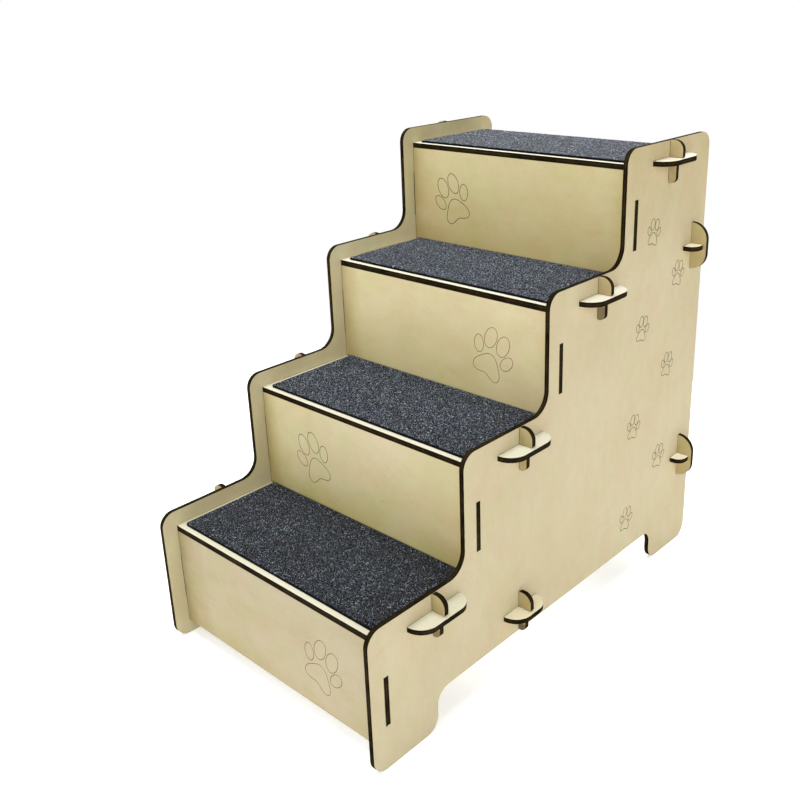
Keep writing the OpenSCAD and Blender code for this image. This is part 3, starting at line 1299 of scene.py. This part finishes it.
@dataclass
class CarpetPads:
    """The four carpet pads: a felted backing with needled tufts on it."""

    corner: float = 4.0 * MM
    rim: float = 0.5 * MM
    rim_lines: tuple[float, ...] = (
        0.0 * MM,
        0.06 * MM,
        0.2 * MM,
        0.5 * MM,
        0.9 * MM,
        1.4 * MM,
        2.2 * MM,
        3.4 * MM,
    )
    cell: float = 4.0 * MM
    glue: float = 0.02 * MM
    pile_height: float = 0.45 * MM
    waves_per_metre: float = 35.0
    wave_layer: float = 7.0
    unevenness: float = 0.18 * MM
    even_within: float = 4.0 * MM
    frays_per_metre: float = 160.0
    fray_layer: float = 11.0
    ragged: float = 0.15 * MM
    ragged_within: float = 1.0 * MM
    tuft_spacing: float = 1.2 * MM
    tuft_density: float = 4.0
    tuft_size: tuple[float, float, float] = (1.3 * MM, 0.46 * MM, 0.36 * MM)
    tuft_least: tuple[float, float, float] = (0.7, 0.75, 0.6)
    tuft_most: tuple[float, float, float] = (1.3, 1.2, 2.1)
    tuft_lean: float = 0.55
    tuft_sides: int = 4
    tuft_rings: int = 2
    tuft_margin: float = 1.2 * MM
    clumps: tuple[float, ...] = (3.5 * MM, 3.5 * MM, 3.0 * MM, 2.6 * MM)
    clumpings: tuple[float, ...] = (0.5, 0.45, 0.5, 0.65)
    contrasts: tuple[float, ...] = (1.35, 1.05, 0.92, 1.25)
    # Painted light: each pad's tufts are shifted lighter or darker for the light and sheen that differ from
    # step to step.
    pad_light_shifts: tuple[float, ...] = (-0.18, 0.0, 0.02, -0.15)
    slips: tuple[float, ...] = (-2.8 * MM, -1.2 * MM, -2.2 * MM, -2.8 * MM)
    first_seed: int = 101

    def build(self, backing: bpy.types.Material, pile: bpy.types.Material) -> None:
        """Lays a pad with its pile on each tread.

        Args:
            backing: The felted backing's material.
            pile: The tufts' material.
        """
        for step in STEPS:
            pad = self._pad(step, backing)
            tufts = self._tufts(step, pad, pile)
            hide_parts(f"carpet_{step}")
            LOG.info("carpet pad %d laid, %d faces of pile", step, len(tufts.data.polygons))

    def _place(self, step: int) -> tuple[Vector, Vector]:
        """Where a pad is laid: by hand, so a little to the left of its tread's middle.

        Args:
            step: The step's number.

        Returns:
            The pad's middle and half its size.
        """
        low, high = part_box(f"carpet_{step}")
        slip = Vector((self.slips[step - 1], 0.0, 0.0))
        return (low + high) / 2 + slip, (high - low) / 2

    def _inside(self, point: Vector, half: Vector) -> float:
        """How far a point lies inside the pad's rounded outline.

        Args:
            point: The point, from the pad's middle.
            half: Half the pad's size.

        Returns:
            The distance to the outline, in metres.
        """
        x = abs(point.x) - (half.x - self.corner)
        y = abs(point.y) - (half.y - self.corner)
        outer = math.hypot(max(x, 0.0), max(y, 0.0))
        return max(0.0, self.corner - outer - min(max(x, y), 0.0))

    def _lines(self, half: float) -> list[float]:
        """Grid lines from one edge to the other, close together near the edges.

        Args:
            half: Half the pad's size in that direction.

        Returns:
            The lines' places, from the middle.
        """
        lines = [half - reach for reach in self.rim_lines]
        inner = lines[-1]
        cells = max(2, round(2 * inner / self.cell))
        middle = [-inner + 2 * inner * index / cells for index in range(1, cells)]
        return [-line for line in lines] + middle + lines[::-1]

    def _top(self, step: int, across: list[float], along: list[float]) -> list[Vector]:
        """The points of a pad's top: round at the corners, worn at the rim and slightly uneven.

        Args:
            step: The step's number.
            across: The grid lines from left to right.
            along: The grid lines from front to back.

        Returns:
            The points, row by row.
        """
        middle, half = self._place(step)
        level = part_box(f"carpet_{step}")[1].z - self.pile_height
        points = []
        for y in along:
            past = max(0.0, abs(y) - (half.y - self.corner))
            reach = half.x - self.corner + math.sqrt(max(0.0, self.corner**2 - past**2))
            for x in across:
                point = Vector((x / half.x * reach, y, 0.0))
                inside = self._inside(point, half)
                wave = self._uneven(point, self.waves_per_metre, step * self.wave_layer)
                fray = self._uneven(point, self.frays_per_metre, step * self.fray_layer)
                pull = 1 - self.ragged * (0.5 + 0.5 * fray) / half.y if inside < self.ragged_within else 1.0
                fall = max(0.0, 1 - inside / self.rim)
                drop = self.rim * (1 - math.sqrt(max(0.0, 1 - fall**2)))
                height = level - drop + self.unevenness * wave * min(1.0, inside / self.even_within)
                points.append(Vector((middle.x + point.x * pull, middle.y + point.y * pull, height)))
        return points

    def _uneven(self, point: Vector, fineness: float, layer: float) -> float:
        """A smooth, fixed unevenness at a point of a pad, from -1 to 1."""
        return noise.noise(Vector((point.x * fineness, point.y * fineness, layer)))

    def _faces(self, wide: int, deep: int) -> list[tuple[int, ...]]:
        """Joins the top's grid, the same grid underneath, and the rim between them.

        Args:
            wide: How many points a row has.
            deep: How many rows there are.

        Returns:
            The faces, each by the numbers of its points.
        """
        under = wide * deep
        faces = []
        for row in range(deep - 1):
            for first in range(row * wide, row * wide + wide - 1):
                face = (first, first + 1, first + 1 + wide, first + wide)
                faces += [face, tuple(under + point for point in reversed(face))]
        ring = [*range(wide), *range(2 * wide - 1, under, wide)]
        ring += [*range(under - 2, under - wide - 1, -1), *range(under - 2 * wide, 0, -wide)]
        for first, second in zip(ring, ring[1:] + ring[:1]):
            faces.append((first, under + first, under + second, second))
        return faces

    def _pad(self, step: int, finish: bpy.types.Material) -> bpy.types.Object:
        """Builds one pad.

        Args:
            step: The step's number.
            finish: The backing's material.

        Returns:
            The pad, riding on the stairs' frame.
        """
        half = self._place(step)[1]
        across, along = self._lines(half.x), self._lines(half.y)
        top = self._top(step, across, along)
        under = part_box(f"carpet_{step}")[0].z + self.glue
        points = [tuple(point) for point in top] + [(point.x, point.y, under) for point in top]
        mesh = bpy.data.meshes.new(f"step_carpet_{step}")
        mesh.from_pydata(points, [], self._faces(len(across), len(along)))
        mesh.materials.append(finish)
        mesh.shade_smooth()
        pad = placed(mesh.name, mesh)
        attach(pad, BODY)
        return pad

    def _tufts(self, step: int, pad: bpy.types.Object, finish: bpy.types.Material) -> bpy.types.Object:
        """Grows the pile on a pad.

        Args:
            step: The step's number.
            pad: The pad that carries the pile.
            finish: The tufts' material.

        Returns:
            The pile, riding on the stairs' frame.
        """
        row = step - 1
        seed = pad.data.copy()
        margin = seed.attributes.new("inside", "FLOAT", "POINT")
        middle, half = self._place(step)
        for index, vertex in enumerate(seed.vertices):
            margin.data[index].value = self._inside(vertex.co - middle, half)
        length, width, height = self.tuft_size
        sizes = {
            "Spacing": self.tuft_spacing,
            "Length": length,
            "Width": width,
            "Height": height,
            "Margin": self.tuft_margin,
            "Clump": self.clumps[row],
            "Clumping": self.clumpings[row],
            "Contrast": self.contrasts[row],
            "Shade": self.pad_light_shifts[row],
            "Seed": self.first_seed + row,
            "Finish": finish,
        }
        tufts = self._tree.grow(f"step_carpet_pile_{step}", seed, sizes)
        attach(tufts, BODY)
        return tufts

    @cached_property
    def _tree(self) -> GeometryBench:
        """Builds the tree that scatters tufts over a pad's top.

        Returns:
            The bench with the finished tree.
        """
        bench = GeometryBench("carpet_pile")
        spacing, length, width, height, margin = bench.sizes("Spacing", "Length", "Width", "Height", "Margin")
        clump, clumping, contrast, shade = bench.sizes("Clump", "Clumping", "Contrast", "Shade")
        seed = bench.sizes("Seed", kind="NodeSocketInt")[0]
        finish = bench.sizes("Finish", kind="NodeSocketMaterial")[0]
        normal = bench.parts(bench.node("GeometryNodeInputNormal").outputs[0])
        upward = bench.math("GREATER_THAN", normal[Axis.UP], FACING)
        clear = bench.math("GREATER_THAN", bench.attribute("inside", "FLOAT"), margin)
        feeds = {
            "Mesh": bench.entry.outputs["Geometry"],
            "Selection": bench.math("MULTIPLY", upward, clear),
            "Distance Min": spacing,
            "Density Max": bench.math("DIVIDE", self.tuft_density, bench.math("MULTIPLY", spacing, spacing)),
            "Seed": seed,
        }
        scatter = bench.node("GeometryNodeDistributePointsOnFaces", feeds, distribute_method="POISSON")
        feeds = {"Radius": 1.0, "Segments": self.tuft_sides, "Rings": self.tuft_rings}
        blob = bench.node("GeometryNodeMeshUVSphere", feeds)
        smooth = bench.node("GeometryNodeSetShadeSmooth", {"Geometry": blob.outputs[0]})
        tuft = bench.moved(smooth.outputs[0], scale=bench.vector(length, width, height))
        leans = (-self.tuft_lean, -self.tuft_lean, 0.0), (self.tuft_lean, self.tuft_lean, math.tau)
        turn = bench.random("FLOAT_VECTOR", *leans, seed, 1)
        growth = bench.random("FLOAT_VECTOR", self.tuft_least, self.tuft_most, seed, 2)
        pile = bench.planted(scatter.outputs["Points"], tuft, turn, growth)
        drift = bench.node("ShaderNodeTexNoise", {"Scale": bench.math("DIVIDE", 1.0, clump), "Detail": 1.0})
        swing = bench.math("MULTIPLY", bench.math("SUBTRACT", drift.outputs[0], 0.5), clumping)
        own = bench.math("SUBTRACT", bench.random("FLOAT", 0.0, 1.0, seed, 3), 0.5)
        spread = bench.math("MULTIPLY", bench.math("ADD", own, swing), contrast)
        # The pad's own shift paints the light that differs from step to step.
        tone = bench.math("ADD", bench.math("ADD", spread, 0.5), shade)
        feeds = {"Geometry": pile, "Name": TUFT_SHADE, "Value": tone}
        shaded = bench.node("GeometryNodeStoreNamedAttribute", feeds, data_type="FLOAT", domain="INSTANCE")
        bench.finish(shaded.outputs[0], finish)
        return bench


@dataclass(frozen=True)
class Softbox:
    """A large soft studio lamp, aimed at the stairs."""

    name: str
    place: tuple[float, float, float]
    power: float
    aim: tuple[float, float, float] = (0.0, 0.0, 0.3)
    size: float = 1.6

    def hang(self) -> None:
        """Hangs the lamp and points it at its aim."""
        lamp = bpy.data.lights.new(self.name, "AREA")
        lamp.shape = "SQUARE"
        lamp.size = self.size
        lamp.energy = self.power
        stand = placed(self.name, lamp)
        stand.location = self.place
        way = Vector(self.aim) - Vector(self.place)
        stand.rotation_euler = way.to_track_quat("-Z", "Y").to_euler()


@dataclass
class Studio:
    """The camera, the lamps and the white floor."""

    camera_place: tuple[float, float, float] = (0.759795, -0.833818, 0.748930)
    yaw: float = 43.42
    pitch: float = 20.29
    roll: float = -1.87
    focal_pixels: float = 966.7
    centre_pixel: tuple[float, float] = (424.81, 352.52)
    image: int = 800
    sensor: float = 36.0
    nearest: float = 0.02
    farthest: float = 200.0
    floor_half: float = 0.85
    left_wall: Colour = (0.83, 0.84, 0.84, 1.0)
    front_wall: Colour = (1.31, 1.35, 1.24, 1.0)
    surround: Colour = (1.21, 1.19, 1.18, 1.0)
    lamps: tuple[Softbox, ...] = (
        Softbox("back_softbox", (-0.6, 2.4, 2.2), 78.5),
        Softbox("top_softbox", (0.0, 0.0, 2.6), 50.0),
        Softbox("right_softbox", (2.6, -0.4, 1.4), 34.1),
    )

    def build(self) -> None:
        """Sets up the camera first, then the light and the floor."""
        self._camera()
        self._sky()
        for lamp in self.lamps:
            lamp.hang()
        self._floor()
        LOG.info("studio set up with %d softboxes", len(self.lamps))

    def _camera(self) -> None:
        """Places the camera as the photograph was taken."""
        yaw, pitch, roll = (math.radians(angle) for angle in (self.yaw, self.pitch, self.roll))
        ahead = Vector((-math.sin(yaw) * math.cos(pitch), math.cos(yaw) * math.cos(pitch), -math.sin(pitch)))
        right = Vector((math.cos(yaw), math.sin(yaw), 0.0))
        up = right.cross(ahead)
        turned_right = math.cos(roll) * right + math.sin(roll) * up
        turned_up = math.cos(roll) * up - math.sin(roll) * right
        lens = bpy.data.cameras.new("studio_camera")
        lens.sensor_width = self.sensor
        lens.lens = self.sensor * self.focal_pixels / self.image
        lens.shift_x = 0.5 - self.centre_pixel[0] / self.image
        lens.shift_y = self.centre_pixel[1] / self.image - 0.5
        lens.clip_start = self.nearest
        lens.clip_end = self.farthest
        camera = placed("studio_camera", lens)
        camera.location = self.camera_place
        camera.rotation_euler = Matrix((turned_right, turned_up, -ahead)).transposed().to_euler()
        bpy.context.scene.camera = camera

    def _sky(self) -> None:
        """Surrounds the stairs with lit walls in front and on the left, and a bright surround below.

        The camera itself sees plain white, so the picture's background stays clean.
        """
        world = bpy.data.worlds.new("studio_sky")
        world.use_nodes = True
        bench = NodeBench(world.node_tree)
        way = bench.parts(bench.node("ShaderNodeTexCoord").outputs["Generated"])
        above = bench.math("GREATER_THAN", way[Axis.UP], 0.0)
        walls = []
        for axis, wall in ((Axis.ACROSS, self.left_wall), (Axis.DEPTH, self.front_wall)):
            facing = bench.math("MAXIMUM", bench.math("MULTIPLY", way[axis], -1.0), 0.0)
            walls.append(bench.blend(bench.math("MULTIPLY", above, facing), BLACK, wall))
        lit = bench.blend(1.0, *walls, "ADD")
        light = bench.blend(1.0, lit, bench.blend(above, self.surround, BLACK), "ADD")
        seen = bench.node("ShaderNodeLightPath").outputs["Is Camera Ray"]
        bench.wire(bench.blend(seen, light, WHITE), bench.tree.nodes["Background"].inputs["Color"])
        bpy.context.scene.world = world
        bpy.context.scene.view_settings.view_transform = "Standard"
        bpy.context.scene.view_settings.look = "None"

    def _floor(self) -> None:
        """Lays the white table top."""
        half = self.floor_half
        mesh = bpy.data.meshes.new("studio_floor")
        corners = [(-half, -half, 0.0), (half, -half, 0.0), (half, half, 0.0), (-half, half, 0.0)]
        mesh.from_pydata(corners, [], [(0, 1, 2, 3)])
        mesh.materials.append(FloorFinish().material())
        floor = placed("studio_floor", mesh)


def main() -> None:
    """Builds the studio and every sub-assembly in order."""
    logging.basicConfig(level=logging.INFO, format="%(message)s")
    Studio().build()
    outline = PawOutline()
    scorch = ScorchFinish().material()
    SidePanels().build(outline, scorch)
    Risers().build(outline, scorch)
    Treads().build()
    Braces().build()
    Keys().build()
    CarpetPads().build(CarpetBackingFinish().material(), CarpetPileFinish().material())


if __name__ == "__main__":
    main()
